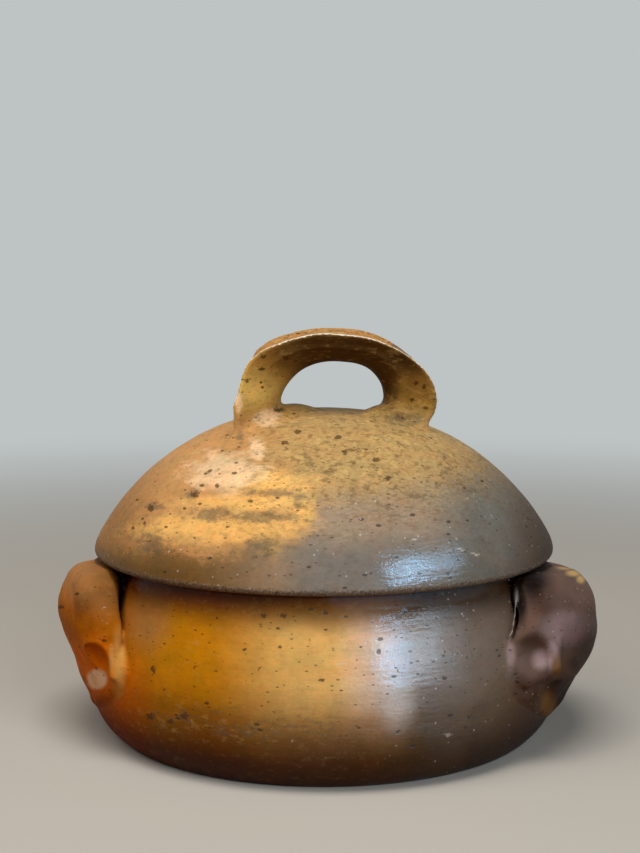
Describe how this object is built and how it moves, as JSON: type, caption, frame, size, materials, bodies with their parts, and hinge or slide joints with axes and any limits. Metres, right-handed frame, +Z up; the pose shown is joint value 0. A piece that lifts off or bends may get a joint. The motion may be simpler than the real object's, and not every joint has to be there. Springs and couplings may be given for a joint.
{
  "type": "lidded bowl",
  "caption": "Round stoneware casserole bowl with ear-shaped side lugs and a domed lift-off lid with a pulled strap handle, for baking and serving.",
  "frame": {"origin": "centre of the flat base, on the surface the pot stands on", "axes": "+Z up along the pot's axis, +X towards the right lug, -Y towards the front"},
  "size_m": [0.2504, 0.216, 0.1832],
  "materials": {
    "bowl_clay": "salt-glazed stoneware, satin, amber to grey-brown with iron specks",
    "left_lug_clay": "salt-glazed stoneware, satin, orange-brown",
    "right_lug_clay": "salt-glazed stoneware, satin, purple-brown",
    "lid_clay": "salt-glazed stoneware, satin, orange flash to mustard and grey with iron specks",
    "flange_clay": "bare fired stoneware, matt",
    "handle_clay": "salt-glazed stoneware, satin, ochre with iron specks"
  },
  "bodies": {
    "bowl": {"bowl": "bowl_clay", "left_lug": "left_lug_clay", "right_lug": "right_lug_clay"},
    "lid": {"lid_dome": "lid_clay", "lid_flange": "flange_clay", "lid_handle": "handle_clay"}
  },
  "joints": [
    {"name": "lid_lift", "type": "slide", "parent": "bowl", "child": "lid", "axis": [0, 0, 1], "range_m": [0, 0.12]}
  ]
}
